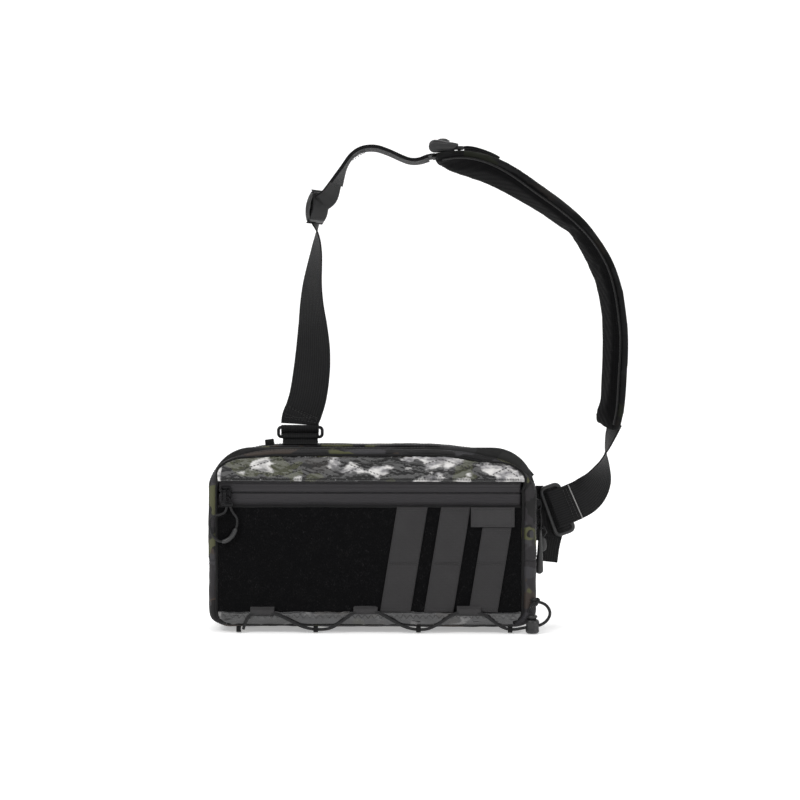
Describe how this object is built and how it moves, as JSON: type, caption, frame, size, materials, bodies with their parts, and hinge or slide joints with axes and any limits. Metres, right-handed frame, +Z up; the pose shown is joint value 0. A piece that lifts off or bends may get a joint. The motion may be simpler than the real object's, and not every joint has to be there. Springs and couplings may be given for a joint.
{
  "type": "sling bag",
  "caption": "Camouflage box sling bag with a zipped mouth, zipped front pocket, loop panel, laced elastic cord and one webbing carrying loop with a curved shoulder pad.",
  "frame": {"origin": "middle of the bag's flat bottom, where it stands", "axes": "+X along the bag's width towards the main zip's sliders, -Y the front with the loop panel, +Z up"},
  "size_m": [0.4207, 0.1022, 0.4896],
  "materials": {
    "camo_fabric": "matte",
    "clear_laminate": "glossy",
    "loop_fabric": "matte",
    "webbing": "matte",
    "grey_webbing": "matte",
    "zip_tape": "satin",
    "zip_metal": "satin",
    "moulded_plastic": "satin",
    "ring_metal": "satin",
    "pad_mesh": "matte",
    "foam": "matte",
    "elastic_cord": "matte",
    "lining": "matte"
  },
  "bodies": {
    "bag": {"back_padding": "foam", "back_panel": "camo_fabric", "bottom_cord_loops": "webbing", "bottom_gusset": "camo_fabric", "bottom_laminate": "clear_laminate", "cord_keeper_1": "grey_webbing", "cord_keeper_2": "grey_webbing", "cord_keeper_3": "grey_webbing", "cord_knot": "elastic_cord", "cord_lock_body": "moulded_plastic", "front_binding_lower": "camo_fabric", "front_panel_lower": "camo_fabric", "inner_pocket": "lining", "left_anchor_tab": "webbing", "loop_panel_lower": "loop_fabric", "rear_binding": "camo_fabric", "rear_zip_gusset": "camo_fabric", "rear_zip_tape": "zip_tape", "right_anchor_tab": "webbing", "shock_cord": "elastic_cord", "side_tab_left": "webbing", "slant_webbing_lower": "grey_webbing"},
    "front_flap": {"front_zip_gusset": "camo_fabric", "front_zip_tape": "zip_tape", "pocket_front": "camo_fabric", "front_panel_top": "camo_fabric", "front_binding_upper": "camo_fabric", "loop_panel_upper": "loop_fabric", "top_laminate": "clear_laminate", "pocket_backing": "lining", "pocket_zip_tape_upper": "zip_tape", "pocket_zip_tape_lower": "zip_tape", "slant_webbing_upper": "grey_webbing", "webbing_tab": "grey_webbing"},
    "strap": {"left_ring": "ring_metal", "left_webbing": "webbing", "tri_glide": "moulded_plastic", "upper_webbing": "webbing", "return_webbing": "webbing", "buckle_female": "moulded_plastic", "buckle_male": "moulded_plastic", "pad_webbing_loop": "webbing", "pad_foam": "foam", "pad_cover": "camo_fabric", "pad_mesh": "pad_mesh", "right_webbing": "webbing", "right_webbing_fold": "webbing", "ladder_lock": "moulded_plastic", "right_anchor_webbing": "webbing", "webbing_tail": "webbing"},
    "pocket_slider": {"pocket_slider": "zip_metal"},
    "pocket_pull": {"pocket_pull_tab": "zip_metal", "pocket_pull_cord": "elastic_cord", "pocket_pull_sleeve": "moulded_plastic"},
    "mouth_slider_upper": {"mouth_slider_upper": "zip_metal"},
    "mouth_pull_upper": {"mouth_pull_upper": "moulded_plastic"},
    "mouth_slider_lower": {"mouth_slider_lower": "zip_metal"},
    "mouth_pull_lower": {"mouth_pull_lower": "moulded_plastic"},
    "cord_lock_button": {"cord_lock_button": "moulded_plastic"},
    "buckle_button": {"buckle_button": "moulded_plastic"}
  },
  "joints": [
    {"name": "front_flap_hinge", "type": "hinge", "parent": "bag", "child": "front_flap", "pos_m": [0, -0.0408, 0.072], "axis": [1, 0, 0], "range_deg": [0, 35]},
    {"name": "strap_swing", "type": "hinge", "parent": "bag", "child": "strap", "pos_m": [-0.074, 0.024, 0.19], "axis": [0.9598, 0, -0.2807], "range_deg": [-25, 30]},
    {"name": "pocket_slider_run", "type": "slide", "parent": "front_flap", "child": "pocket_slider", "axis": [1, 0, 0], "range_m": [0, 0.285]},
    {"name": "pocket_pull_swing", "type": "hinge", "parent": "pocket_slider", "child": "pocket_pull", "pos_m": [-0.1457, -0.0428, 0.141], "axis": [-1, 0, 0], "range_deg": [0, 85]},
    {"name": "mouth_slider_upper_run", "type": "slide", "parent": "bag", "child": "mouth_slider_upper", "axis": [0, 0, 1], "range_m": [0, 0.012]},
    {"name": "mouth_pull_upper_swing", "type": "hinge", "parent": "mouth_slider_upper", "child": "mouth_pull_upper", "pos_m": [0.1666, -0.0032, 0.126], "axis": [0, -1, 0], "range_deg": [0, 60]},
    {"name": "mouth_slider_lower_run", "type": "slide", "parent": "bag", "child": "mouth_slider_lower", "axis": [0, 0, -1], "range_m": [0, 0.025]},
    {"name": "mouth_pull_lower_swing", "type": "hinge", "parent": "mouth_slider_lower", "child": "mouth_pull_lower", "pos_m": [0.1666, 0.0032, 0.108], "axis": [0, -1, 0], "range_deg": [0, 60]},
    {"name": "cord_lock_press", "type": "slide", "parent": "bag", "child": "cord_lock_button", "axis": [0, 0, -1], "range_m": [0, 0.003], "stiffness_N_per_m": 900},
    {"name": "buckle_button_press", "type": "slide", "parent": "strap", "child": "buckle_button", "axis": [0, 0, -1], "range_m": [0, 0.0012], "stiffness_N_per_m": 900}
  ]
}
